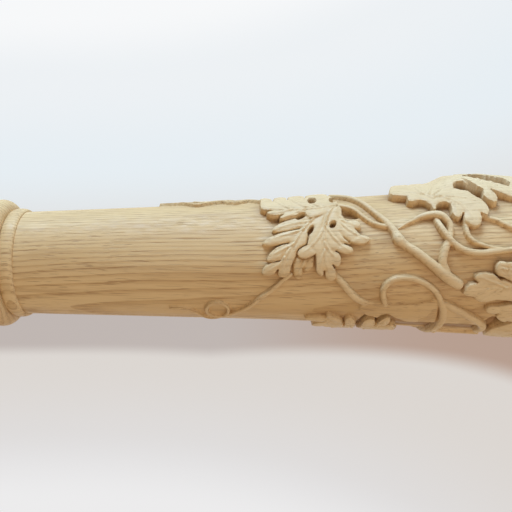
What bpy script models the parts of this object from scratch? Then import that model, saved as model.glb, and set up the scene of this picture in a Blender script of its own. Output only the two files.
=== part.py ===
"""Carved oak newel post: a turned, swelling shaft between a square plinth and a square head block.

Oak leaves, branches and tendrils stand in relief on the shaft, all carved from the same piece.
The post stands on Z = 0 with its axis on Z. Angles round the shaft are in degrees, measured
from -Y towards +X, so 0 is the front. Units are metres unless a name says otherwise.
"""

import math

import bmesh
import bpy
import numpy as np

# Square parts
PLINTH_WIDTH = 0.160
PLINTH_HEIGHT = 0.190
HEAD_WIDTH = 0.120
HEAD_HEIGHT = 0.140
ARRIS = 0.003

# Turned base, from the plinth up
BASE_TORUS_HEIGHT = 0.032
BASE_TORUS_RADIUS = 0.073
BASE_TORUS_DEPTH = 0.006
BASE_FILLET_HEIGHT = 0.005
BASE_FILLET_RADIUS = 0.062
BASE_COVE_HEIGHT = 0.014
BASE_COVE_STEP = 0.002
BASE_BEAD_HEIGHT = 0.009
BASE_BEAD_RADIUS = 0.0565
BASE_BEAD_DEPTH = 0.003
BASE_BEAD_UNDERCUT = 0.004

# Shaft
SHAFT_LENGTH = 0.640
NECK_RADIUS = 0.0455
BELLY_RADIUS = 0.0675
FOOT_RADIUS = 0.0515
BELLY_PLACE = 0.78
# Swelling of the taper as (share of the way from neck to belly, share of the gain in radius).
TAPER = ((0.0, 0.0), (0.25, 0.18), (0.485, 0.377), (0.63, 0.56), (0.80, 0.815), (1.0, 1.0))

# Collar over the shaft
COLLAR_BEAD_HEIGHT = 0.0124
COLLAR_BEAD_RADIUS = 0.0485
COLLAR_GROOVE_RADIUS = 0.0460
COLLAR_TORUS_HEIGHT = 0.0206
COLLAR_TORUS_RADIUS = 0.0566
COLLAR_COVE_HEIGHT = 0.034
COLLAR_COVE_RADIUS = 0.0420

# Cap over the head block
CAP_NECK_HEIGHT = 0.010
CAP_NECK_RADIUS = 0.046
CAP_TORUS_HEIGHT = 0.024
CAP_TORUS_RADIUS = 0.058
CAP_DOME_HEIGHT = 0.034
CAP_DOME_RADIUS = 0.047

# Relief
LEAF_HEIGHT = 0.0068
LEAF_TOP = 0.0126
LEAF_EDGE = 0.0014
LEAF_FALL = 0.05
LEAF_FOOT_WIDTH = 0.007
LOBE_BULGE = 0.25
LOBE_BLUNTNESS = 0.85
LAST_SINUS = 0.80
BRANCH_LIFT = 0.0014
BRANCH_EDGE = 0.0012
PLATEAU_HEIGHT = 0.0030
PLATEAU_SLOPE = 0.0020
HOLLOW_DEPTH = 0.0050
HOLLOW_SLOPE = 0.0020
HOLE_EDGE = 0.0012

# Fineness of the faceting
GRID_STEP = 0.0013
RELIEF_TRIANGLES = 6400
TURNED_SIDES = 30
SINK = 0.020

# The carver's drawing is laid out on a shaft this long, in millimetres below the collar.
DRAWING_LENGTH = 640.0

# Each leaf: foot and end of its midrib, then its heights there as shares of LEAF_HEIGHT, its slope across,
# how far its sinuses reach in towards the midrib as a share, and the ends of its lobes in their order
# round it. Places are (distance down the drawing, angle).
FIRST_LEAVES = (
    ((246, 10), (238, -12), 0.47, 0.38, 0, 0.4, ((234, 1), (238, -16.5), (246, -9), (250, 1))),
    ((269, 48), (208.5, 51), 1.06, 0.94, -0.085, 0.45,
     ((251, 35), (225, 34), (213, 41), (205.5, 51.5), (205, 66), (211, 81), (224, 83), (238, 85), (257, 85))),
    ((269, 47.5), (214, -8), 1.10, 0.75, 0, 0.75,
     ((216, 26), (208.5, 16.5), (212, 4), (207, -11), (225.5, -14.5), (235, 2), (249, 20))),
    ((269, 47.5), (262, -9), 1.15, 0.85, 0, 0.45,
     ((237, 3.5), (252, -1), (255, -12.5), (264, -17), (272.5, -1.5), (282, 6), (282.5, 15.5), (274, 30))),
    ((269.5, 47), (293, 16.5), 1.06, 0.80, 0, 0.45, ((276, 18), (295.5, 14.5), (290, 27), (278, 34))),
)
SECOND_LEAVES = (
    ((372, 72), (320, 68), 1.55, 1.10, 0.08, 0.35,
     ((353, 47), (338, 49), (330, 51), (317, 62), (318, 82), (336, 103), (350, 109), (367, 112), (386, 96))),
    ((352, 52), (392, 44), 1.10, 1.00, 0.10, 0.55,
     ((360, 45), (368, 32.5), (382.5, 23.5), (396.5, 40), (386, 62), (370, 74))),
    ((366, 84), (425, 62), 1.60, 1.30, 0.12, 0.35,
     ((386, 68), (399.5, 45), (424, 47), (440, 58), (438, 82), (410, 92), (396, 106), (372, 98))),
)
THIRD_LEAVES = (
    ((446, -56), (406, -62), 0.82, 0.68, 0, 0.5, ((412, -51), (402.5, -61), (418, -86), (442, -78))),
    ((444, -28), (396, -38), 0.97, 0.70, 0, 0.5, ((402, -33), (391, -38.5), (404.5, -48.5), (428, -54))),
    ((440, -22), (374, -22.5), 1.10, 0.75, 0, 0.6,
     ((420, -11), (396, -10), (380, -10), (370.5, -23), (384, -32), (404, -30))),
    ((440, -20), (400, -6), 1.15, 0.97, 0, 0.4, ((410, -15), (394, -6), (404, -2), (428, 5))),
)
SIDE_LEAVES = (
    ((293, -104), (262, -58), 0.68, 0.65, 0, 0.6,
     ((267, -116), (256, -98), (251, -76), (244, -55.5), (269.5, -49), (284, -80))),
    ((293, -104), (283, -58), 0.68, 0.65, 0, 0.5, ((282, -86), (281, -51), (288, -62), (294, -90))),
    ((293, -104), (312, -60), 0.65, 0.62, 0, 0.7,
     ((298.5, -51), (314, -47), (326, -67), (326, -84), (330, -104))),
)

# Ovals cut through the leaves down to the ground: place, half length, half width, turn of the length.
FIRST_HOLES = (((251, 58.5), 3.4, 6.0, 0), ((269, 57), 3.0, 5.6, -15))
SECOND_HOLES = (((406.5, 70.5), 4.2, 15.0, 45), ((380, 69), 8.5, 3.4, -43))

# Each branch: radius at its start, radius at its end, then its way along the drawing as
# (distance down, angle), with the height of its centre over the ground where it isn't the usual one.
FIRST_BRANCHES = (
    (2.5, 4.9, ((269, 78), (284, 67), (296, 51), (306, 37), (314, 27), (324, 12), (341, 0), (355, -11, 1.8),
                (367, -19, 0.6))),
    (3.8, 2.0, ((357, -10), (354, -2), (357, 10), (361, 18, 1), (361, 28, 2), (356, 34, 4), (348, 36, 3.6),
                (340, 35, 2.2), (326, 29, 0.8), (321, 26, 0.4))),
    (2.6, 2.8, ((351, 44, 2.5), (351, 37, 1), (352, 31), (357, 19, 3.4), (362, 13, 2.8), (368, 8, 2),
                (377, 5), (395, 5.5), (408, 7), (418, 9))),
    (2.4, 2.0, ((374, 30, 1), (374, 20, 2), (380, 13), (387, 10), (402, 7))),
    (2.4, 2.1, ((267, 49, 3.5), (276, 50, 3.2), (287, 44, 2), (300, 31), (312, 28))),
)
FRONT_BRANCHES = (
    (2.2, 2.2, ((385, 34), (391, 32), (400, 29), (410, 24), (424, 14), (436, 2), (446, -20))),
    (2.7, 2.9, ((310, -38), (307.5, -27), (311, -18), (323, -14), (337, -17), (349, -24.5), (355, -36))),
    (3.6, 3.4, ((355, -35, 1), (359, -45), (360, -53), (359, -63), (356, -74), (352, -100))),
    (3.3, 3.2, ((266, -11, -1.2), (270, -15, 0.4), (280, -27), (287, -33.5), (293, -37, 0.6),
                (299, -39, -0.6), (306, -39, -1.8))),
    (3.4, 4.0, ((349, -33, -1.4), (356, -34.5, 0.2), (368, -40), (384, -49.5), (394, -58), (396, -64, 1),
                (394, -72, 0.2))),
    (2.4, 2.0, ((292, -104), (275, -120), (262, -140))),
    (2.6, 2.6, ((358, -78), (370, -86), (384, -88), (399, -86))),
)
TENDRIL_FRONT = (
    (2.2, 1.7, ((231, -12), (215, -27), (200, -42), (185, -55), (174, -63), (162, -58), (161, -49),
                (170, -41), (178, -47), (178, -56), (168, -67), (156, -63), (145, -53), (130, -50))),
)
TENDRIL_TOP = (
    (1.8, 1.5, ((207, 73), (200, 80), (190, 90), (180, 90), (176, 80), (184, 73), (194, 82),
                (184, 93), (166, 88), (150, 84), (127, 86))),
)
LOWER_BRANCHES = (
    (2.4, 3.4, ((411, 8), (432, 12), (460, 20), (490, 22), (520, 12), (560, -6), (600, -14), (636, -12))),
    (2.2, 1.2, ((470, 21), (486, 38), (502, 46), (512, 40), (508, 32))),
)

# Leaves, holes and branches of the front, and where each group is carved again: distance down,
# turn, and whether its leaves hang head down.
FIRST = (FIRST_LEAVES, FIRST_HOLES, FIRST_BRANCHES)
SECOND = (SECOND_LEAVES, SECOND_HOLES, ())
THIRD = (THIRD_LEAVES, (), ())
SIDE = (SIDE_LEAVES, (), ())
FRONT = ((), (), FRONT_BRANCHES + TENDRIL_FRONT + TENDRIL_TOP)
BACK = ((), (), TENDRIL_FRONT)
LOWER = ((), (), LOWER_BRANCHES)
LEAVES_ALONE = (FIRST_LEAVES, FIRST_HOLES, ())
GROUPS = (
    ((FIRST, SECOND, THIRD, SIDE, FRONT, LOWER), 0, 0, False),
    ((FIRST, SECOND, THIRD, BACK), -12, 140, False),
    ((LEAVES_ALONE,), 746, -18, True),
    ((LEAVES_ALONE,), 752, 150, True),
    ((LEAVES_ALONE,), 770, -125, True),
    ((LOWER,), 0, 172, False),
    ((LOWER,), 0, -112, False),
)

# Ground left standing between the branches, and ground cut deeper beside it.
PLATEAUS = (
    ((292, -36), (311, -35.5), (335, -35), (354, -33), (356, -55), (342, -63.5), (330, -64.5), (320, -56),
     (305, -50), (286, -50), (278, -45)),
    ((358, -35), (375, -42), (390, -51), (397, -58), (372, -58.5), (358, -59)),
)
HOLLOWS = (
    ((288, -76), (294, -57), (302, -53.5), (308, -51), (316, -50), (330, -64), (354, -61), (390, -58.5),
     (400, -50), (414, -54), (424, -80), (404, -88), (352, -84), (306, -88)),
)

OAK = (0.52, 0.35, 0.20, 1.0)
OAK_ROUGHNESS = 0.62


def base_height():
    return BASE_TORUS_HEIGHT + BASE_FILLET_HEIGHT + BASE_COVE_HEIGHT + BASE_BEAD_HEIGHT


def shaft_top():
    return PLINTH_HEIGHT + base_height() + SHAFT_LENGTH


def head_bottom():
    return shaft_top() + COLLAR_BEAD_HEIGHT + COLLAR_TORUS_HEIGHT + COLLAR_COVE_HEIGHT


def hermite(x, knots):
    """Smooth curve through (place, value) knots, with each slope taken from its neighbours."""
    places = np.array([knot[0] for knot in knots], float)
    values = np.array([knot[1] for knot in knots], float)
    slopes = np.gradient(values, places)
    x = np.clip(x, places[0], places[-1])
    i = np.clip(np.searchsorted(places, x, side="right") - 1, 0, len(places) - 2)
    span = places[i + 1] - places[i]
    t = (x - places[i]) / span
    start = values[i] * (2 * t**3 - 3 * t**2 + 1) + slopes[i] * span * (t**3 - 2 * t**2 + t)
    end = values[i + 1] * (3 * t**2 - 2 * t**3) + slopes[i + 1] * span * (t**3 - t**2)
    return start + end


def shaft_radius(down):
    """Radius of the turned shaft at a distance below the collar."""
    gain = BELLY_RADIUS - NECK_RADIUS
    knots = [(BELLY_PLACE * place, NECK_RADIUS + gain * share) for place, share in TAPER]
    shoulder = (BELLY_PLACE + 0.55 * (1 - BELLY_PLACE), FOOT_RADIUS + 0.62 * (BELLY_RADIUS - FOOT_RADIUS))
    return hermite(np.asarray(down) / SHAFT_LENGTH, knots + [shoulder, (1.0, FOOT_RADIUS)])


def torus(bottom, height, root, radius, steps=5):
    """Convex moulding, as (radius, z) points going up."""
    points = []
    for step in range(steps + 1):
        turn = math.pi * step / steps
        out = root + (radius - root) * math.sin(turn)
        points.append((out, bottom + height * (1 - math.cos(turn)) / 2))
    return points


def cove(bottom, height, lower, upper, steps=4):
    """Hollow quarter from one radius to another, as (radius, z) points going up."""
    points = []
    for step in range(steps + 1):
        turn = math.pi / 2 * step / steps
        if lower > upper:
            points.append((lower - (lower - upper) * math.sin(turn), bottom + height * (1 - math.cos(turn))))
        else:
            points.append((upper - (upper - lower) * math.cos(turn), bottom + height * math.sin(turn)))
    return points


def base_profile():
    z = PLINTH_HEIGHT
    points = [(0.0, z - SINK), (BASE_TORUS_RADIUS - BASE_TORUS_DEPTH, z - SINK)]
    points += torus(z, BASE_TORUS_HEIGHT, BASE_TORUS_RADIUS - BASE_TORUS_DEPTH, BASE_TORUS_RADIUS)
    z += BASE_TORUS_HEIGHT
    points += [(BASE_FILLET_RADIUS, z), (BASE_FILLET_RADIUS, z + BASE_FILLET_HEIGHT)]
    z += BASE_FILLET_HEIGHT
    cove_top = BASE_BEAD_RADIUS - BASE_BEAD_UNDERCUT
    points += cove(z, BASE_COVE_HEIGHT, BASE_FILLET_RADIUS - BASE_COVE_STEP, cove_top)
    z += BASE_COVE_HEIGHT
    points += torus(z, BASE_BEAD_HEIGHT, BASE_BEAD_RADIUS - BASE_BEAD_DEPTH, BASE_BEAD_RADIUS, 4)
    points.append((0.0, z + BASE_BEAD_HEIGHT))
    return points


def top_profile():
    z = shaft_top()
    points = [(0.0, z)]
    points += torus(z, COLLAR_BEAD_HEIGHT, COLLAR_GROOVE_RADIUS, COLLAR_BEAD_RADIUS, 4)
    z += COLLAR_BEAD_HEIGHT
    points += torus(z, COLLAR_TORUS_HEIGHT, COLLAR_GROOVE_RADIUS, COLLAR_TORUS_RADIUS, 8)[1:]
    z += COLLAR_TORUS_HEIGHT
    points += cove(z, COLLAR_COVE_HEIGHT, COLLAR_COVE_RADIUS, HEAD_WIDTH / 2 - ARRIS, 5)
    z += COLLAR_COVE_HEIGHT
    points += [(HEAD_WIDTH / 2 - ARRIS, z + SINK), (CAP_NECK_RADIUS, z + SINK)]
    z += HEAD_HEIGHT
    points.append((CAP_NECK_RADIUS, z + CAP_NECK_HEIGHT))
    z += CAP_NECK_HEIGHT
    points += torus(z, CAP_TORUS_HEIGHT, CAP_DOME_RADIUS, CAP_TORUS_RADIUS)
    z += CAP_TORUS_HEIGHT
    for step in range(1, 6):
        turn = math.pi / 2 * step / 6
        points.append((CAP_DOME_RADIUS * math.cos(turn), z + CAP_DOME_HEIGHT * math.sin(turn)))
    points.append((0.0, z + CAP_DOME_HEIGHT))
    return points


def link(name, mesh):
    obj = bpy.data.objects.new(name, mesh)
    bpy.context.scene.collection.objects.link(obj)
    return obj


def turned(name, profile):
    """Closed solid made by turning (radius, z) points, the first and last on the axis."""
    ring_angles = [2 * math.pi * side / TURNED_SIDES for side in range(TURNED_SIDES)]
    shape = bmesh.new()
    foot = shape.verts.new((0, 0, profile[0][1]))
    rings = []
    for radius, z in profile[1:-1]:
        rings.append([shape.verts.new((radius * math.cos(a), radius * math.sin(a), z)) for a in ring_angles])
    crown = shape.verts.new((0, 0, profile[-1][1]))
    for i in range(TURNED_SIDES):
        j = (i + 1) % TURNED_SIDES
        shape.faces.new((foot, rings[0][j], rings[0][i]))
        for low, high in zip(rings, rings[1:]):
            shape.faces.new((low[i], low[j], high[j], high[i]))
        shape.faces.new((crown, rings[-1][i], rings[-1][j]))
    mesh = bpy.data.meshes.new(name)
    shape.to_mesh(mesh)
    shape.free()
    return link(name, mesh)


def block(name, width, bottom, height):
    """Square block with a chamfer along every edge but those round its underside."""
    shape = bmesh.new()
    bmesh.ops.create_cube(shape, size=1.0)
    bmesh.ops.scale(shape, vec=(width, width, height), verts=shape.verts)
    bmesh.ops.translate(shape, vec=(0, 0, bottom + height / 2), verts=shape.verts)
    kept = [edge for edge in shape.edges if max(v.co.z for v in edge.verts) > bottom + height / 2]
    bmesh.ops.bevel(shape, geom=kept, offset=ARRIS, segments=1, affect="EDGES")
    mesh = bpy.data.meshes.new(name)
    shape.to_mesh(mesh)
    shape.free()
    return link(name, mesh)


def drawn(length):
    """A length of the drawing as it is carved."""
    return length * SHAFT_LENGTH / DRAWING_LENGTH


class Relief:
    """Heights over the turned shaft, on a grid of distances below the collar and angles."""

    def __init__(self):
        rows = int(round(SHAFT_LENGTH / GRID_STEP))
        columns = int(round(2 * math.pi * BELLY_RADIUS / GRID_STEP))
        self.down = np.linspace(0, SHAFT_LENGTH, rows + 1)
        self.angle = np.arange(columns) * 2 * math.pi / columns
        self.radius = shaft_radius(self.down)
        self.height = np.zeros((rows + 1, columns))
        self.ground = np.zeros((rows + 1, columns))

    def flat(self, point, middle):
        """A drawing point as surface coordinates about the middle angle."""
        down = drawn(point[0])
        return np.array((down, math.radians(point[1] - middle) * float(shaft_radius(down))))

    def window(self, points, middle, margin):
        """Grid cells near the points: their indices and their surface coordinates."""
        low = np.min(points, axis=0) - margin
        high = np.max(points, axis=0) + margin
        rows = np.flatnonzero((self.down >= low[0]) & (self.down <= high[0]))
        turn = (self.angle - math.radians(middle) + math.pi) % (2 * math.pi) - math.pi
        columns = np.flatnonzero((turn * NECK_RADIUS <= high[1]) & (turn * NECK_RADIUS >= low[1]))
        across = turn[columns][None, :] * self.radius[rows][:, None]
        along = np.repeat(self.down[rows][:, None], len(columns), axis=1)
        return np.ix_(rows, columns), along, across

    def wall_to(self, cells, level, inside):
        """Carving up to a level inside an outline, its walls going down to the ground."""
        ground = self.ground[cells]
        self.height[cells] = np.maximum(self.height[cells], ground + (level - ground) * inside)

    def leaf(self, foot, end, foot_share, end_share, lean, sinus, lobes):
        """Leaf whose top falls away from its midrib to each side."""
        middle = (foot[1] + end[1]) / 2
        start = self.flat(foot, middle)
        stop = self.flat(end, middle)
        edge = leaf_edge(start, stop, [self.flat(lobe, middle) for lobe in lobes], sinus)
        cells, along, across = self.window(edge, middle, LEAF_EDGE)
        share, away = nearest(along, across, start, stop)
        level = LEAF_HEIGHT * (foot_share + (end_share - foot_share) * share)
        level = np.minimum(level + lean * across - LEAF_FALL * away, LEAF_TOP)
        self.wall_to(cells, level, np.clip(-outside(along, across, edge) / LEAF_EDGE, 0, 1))

    def hole(self, place, half_length, half_width, tilt):
        """Oval cut through a leaf, down to the ground."""
        centre = self.flat(place, place[1])
        half = (drawn(half_length), drawn(half_width))
        cells, along, across = self.window(np.array([centre]), place[1], max(half) + HOLE_EDGE)
        c, n = math.cos(math.radians(tilt)), math.sin(math.radians(tilt))
        u = (along - centre[0]) * c + (across - centre[1]) * n
        v = (across - centre[1]) * c - (along - centre[0]) * n
        gap = (np.hypot(u / half[0], v / half[1]) - 1) * min(half)
        ground = self.ground[cells]
        kept = np.clip(gap / HOLE_EDGE + 0.5, 0, 1)
        self.height[cells] = ground + (self.height[cells] - ground) * kept

    def branch(self, first, last, way):
        """Round branch along a way, its walls going down to the ground."""
        middle = sum(point[1] for point in way) / len(way)
        line = []
        for point in way:
            lift = point[2] / 1000 if len(point) > 2 else BRANCH_LIFT
            line.append((*self.flat(point, middle), lift))
        line = smooth_way(np.array(line))
        radii = np.linspace(first, last, len(line)) / 1000
        cells, along, across = self.window(line[:, :2], middle, 2 * max(radii))
        for i in range(len(line) - 1):
            t, away = nearest(along, across, line[i, :2], line[i + 1, :2])
            radius = radii[i] + t * (radii[i + 1] - radii[i])
            lift = line[i, 2] + t * (line[i + 1, 2] - line[i, 2])
            crown = lift + np.sqrt(np.maximum(radius**2 - away**2, 0))
            self.wall_to(cells, crown, np.clip((radius - away) / BRANCH_EDGE, 0, 1))

    def ground_inside(self, edge, level, slope):
        """Ground at another level inside an outline."""
        middle = sum(point[1] for point in edge) / len(edge)
        corners = np.array([self.flat(point, middle) for point in edge])
        cells, along, across = self.window(corners, middle, slope)
        share = np.clip(-outside(along, across, corners) / slope, 0, 1)
        self.ground[cells] += (level - self.ground[cells]) * share
        self.height[cells] = self.ground[cells]


def leaf_edge(start, stop, lobes, sinus):
    """Outline of a leaf: a rounded lobe to each of the given ends, between sinuses cut in to the midrib."""
    heading = (stop - start) / np.linalg.norm(stop - start)
    beside = LEAF_FOOT_WIDTH / 2 * np.array((-heading[1], heading[0]))
    if np.dot(beside, lobes[0] - start) < 0:
        beside = -beside
    corners = [start + beside]
    for one, other in zip(lobes, lobes[1:]):
        between = (one + other) / 2
        share, _ = nearest(between[0], between[1], start, stop)
        rib = start + min(share, LAST_SINUS) * (stop - start)
        corners.append(between + sinus * (rib - between))
    corners.append(start - beside)
    edge = []
    for lobe, a, b in zip(lobes, corners, corners[1:]):
        between = (a + b) / 2
        for turn in np.linspace(0, math.pi, 9)[:-1]:
            out = math.sin(turn)
            aside = math.cos(turn) * (1 + LOBE_BULGE * out)
            edge.append(between + (lobe - between) * out**LOBE_BLUNTNESS - (b - a) / 2 * aside)
    edge.append(corners[-1])
    return np.array(edge)


def outside(along, across, edge):
    """Distance outside a closed outline, negative inside it."""
    best = np.full(along.shape, 1.0)
    turns = np.zeros(along.shape, int)
    for a, b in zip(edge, np.roll(edge, -1, axis=0)):
        best = np.minimum(best, nearest(along, across, a, b)[1])
        if a[1] != b[1]:
            at = a[0] + (across - a[1]) * (b[0] - a[0]) / (b[1] - a[1])
            crosses = ((a[1] > across) != (b[1] > across)) & (along < at)
            turns += np.where(crosses, int(np.sign(b[1] - a[1])), 0)
    return np.where(turns != 0, -best, best)


def nearest(along, across, a, b):
    """Share of the way from a to b that is nearest each cell, and how far it is."""
    way = b - a
    t = ((along - a[0]) * way[0] + (across - a[1]) * way[1]) / max(float(way @ way), 1e-12)
    t = np.clip(t, 0, 1)
    return t, np.hypot(along - a[0] - t * way[0], across - a[1] - t * way[1])


def smooth_way(points):
    """Points about 3 mm apart on a smooth curve through the given ones."""
    steps = np.linalg.norm(np.diff(points[:, :2], axis=0), axis=1)
    places = np.concatenate(([0.0], np.cumsum(steps)))
    fine = np.linspace(0, places[-1], max(2, int(places[-1] / 0.003)))
    return np.stack([hermite(fine, list(zip(places, column))) for column in points.T], axis=1)


def moved(points, down, turn, flipped):
    """Drawing points carried down the shaft and round it, head down if flipped."""
    result = []
    for point in points:
        place = down - point[0] if flipped else down + point[0]
        result.append((place, point[1] + turn, *point[2:]))
    return tuple(result)


def carve():
    """The relief of the whole shaft."""
    relief = Relief()
    for edge in PLATEAUS:
        relief.ground_inside(edge, PLATEAU_HEIGHT, PLATEAU_SLOPE)
    for edge in HOLLOWS:
        relief.ground_inside(edge, -HOLLOW_DEPTH, HOLLOW_SLOPE)
    for groups, down, turn, flipped in GROUPS:
        for leaves, holes, _ in groups:
            for foot, end, foot_share, end_share, lean, sinus, lobes in leaves:
                foot, end = moved((foot, end), down, turn, flipped)
                lobes = moved(lobes, down, turn, flipped)
                relief.leaf(foot, end, foot_share, end_share, lean, sinus, lobes)
            for place, half_length, half_width, tilt in holes:
                place = moved((place,), down, turn, flipped)[0]
                relief.hole(place, half_length, half_width, -tilt if flipped else tilt)
        for _, _, branches in groups:
            for first, last, way in branches:
                relief.branch(first, last, moved(way, down, turn, flipped))
    return relief


def carved_shaft(name, relief):
    """Closed shaft with its relief, its ends sunk in the base and the collar, brought down to few facets."""
    out = relief.radius[:, None] + relief.height
    z = shaft_top() - relief.down
    rows, columns = out.shape
    x = out * np.sin(relief.angle)
    y = -out * np.cos(relief.angle)
    points = np.stack((x, y, np.repeat(z[:, None], columns, axis=1)), axis=2).reshape(-1, 3)
    sunk = [
        np.stack((x[0], y[0], np.full(columns, z[0] + COLLAR_BEAD_HEIGHT / 2)), axis=1),
        np.stack((x[-1], y[-1], np.full(columns, z[-1] - BASE_BEAD_HEIGHT / 2)), axis=1),
    ]
    points = np.concatenate((sunk[0], points, sunk[1]))
    rows += 2
    i, j = np.meshgrid(np.arange(rows - 1), np.arange(columns), indexing="ij")
    k = (j + 1) % columns
    quads = np.stack((i * columns + j, (i + 1) * columns + j, (i + 1) * columns + k, i * columns + k), axis=2)
    faces = quads.reshape(-1, 4).tolist()
    faces.append(list(range(columns)))
    faces.append(list(range((rows - 1) * columns, rows * columns))[::-1])
    mesh = bpy.data.meshes.new(name)
    mesh.from_pydata(points.tolist(), [], faces)
    mesh.update()
    shaft = link(name, mesh)
    fewer = shaft.modifiers.new("fewer facets", "DECIMATE")
    fewer.ratio = RELIEF_TRIANGLES / (2 * (rows - 1) * columns)
    return shaft


def oak():
    material = bpy.data.materials.new("oak")
    material.use_nodes = True
    surface = material.node_tree.nodes["Principled BSDF"]
    surface.inputs["Base Color"].default_value = OAK
    surface.inputs["Roughness"].default_value = OAK_ROUGHNESS
    surface.inputs["Metallic"].default_value = 0.0
    return material


def join(post, other, name):
    """Union that keeps the other shape only as a hidden helper."""
    other.hide_render = True
    other.display_type = "WIRE"
    union = post.modifiers.new(name, "BOOLEAN")
    union.operation = "UNION"
    union.object = other


def build():
    for obj in list(bpy.data.objects):
        bpy.data.objects.remove(obj, do_unlink=True)
    post = carved_shaft("newel_post", carve())
    join(post, turned("base_turning", base_profile()), "base")
    join(post, turned("top_turning", top_profile()), "top")
    join(post, block("plinth_block", PLINTH_WIDTH, 0.0, PLINTH_HEIGHT), "plinth")
    join(post, block("head_block", HEAD_WIDTH, head_bottom(), HEAD_HEIGHT), "head")
    post.data.materials.append(oak())
    post.data.shade_smooth()
    post.data.set_sharp_from_angle(angle=math.radians(35))


build()
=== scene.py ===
"""Dressed newel post: the fine carving and mouldings, the oak, the light and the camera.

The post is drawn in millimetres, the rest in metres. A place in the carving is (s, angle): s runs down the shaft from
its top. The angle runs round it, in degrees, from the side that the photograph shows, and is positive towards the
photograph's top.
"""
import math

import bpy
import numpy as np
from mathutils import Matrix, Vector


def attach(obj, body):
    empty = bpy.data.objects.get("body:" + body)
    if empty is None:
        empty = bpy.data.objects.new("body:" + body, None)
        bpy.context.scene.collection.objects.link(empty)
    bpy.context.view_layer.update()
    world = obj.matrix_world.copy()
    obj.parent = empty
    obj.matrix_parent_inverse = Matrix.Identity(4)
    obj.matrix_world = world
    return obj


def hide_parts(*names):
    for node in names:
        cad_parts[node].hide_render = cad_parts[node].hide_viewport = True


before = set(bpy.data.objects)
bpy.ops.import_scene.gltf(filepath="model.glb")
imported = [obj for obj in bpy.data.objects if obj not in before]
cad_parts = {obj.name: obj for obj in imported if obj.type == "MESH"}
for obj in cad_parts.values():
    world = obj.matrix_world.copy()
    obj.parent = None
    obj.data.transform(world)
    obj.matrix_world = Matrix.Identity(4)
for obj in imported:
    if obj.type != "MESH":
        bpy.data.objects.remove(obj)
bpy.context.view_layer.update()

PLINTH_HALF, PLINTH_TOP = 80.0, 190.0
SHAFT_BOTTOM, SHAFT_TOP = 250.0, 890.0
HEAD_HALF, HEAD_BOTTOM, HEAD_TOP = 60.0, 957.0, 1097.0
ARRIS = 3.0
COLUMNS = 704  # divisible by 8, so that corners fall on a column
FINE_STEP = 0.6  # between two rows of the carving
MOULDING_STEP = 1.5
TRIANGLES = 190000
SHARP_ANGLE = 48

# The shaft's radius, as (s, radius).
TAPER = ((0, 45.5), (125, 49.5), (242, 53.8), (314, 57.8), (400, 63.5), (450, 66.3), (500, 67.5), (575, 61.5),
         (640, 51.5))

# ---------------------------------------------------------------- drawing of the carving
# A leaf: its midrib from the stalk on; its edge, where an entry is a corner, and the tip of the lobe that follows it if
# it has four numbers; its heights at the stalk and at the end; its veins.
# A hole: its place, its two half axes and its tilt. A slot: its outline.
# A branch: its radius at both ends, and its points, which may also give the height of its middle and a factor on the
# radius. A plateau: its outline, its height and the width of its slope. A pit: a hole's numbers and a depth.

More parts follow.
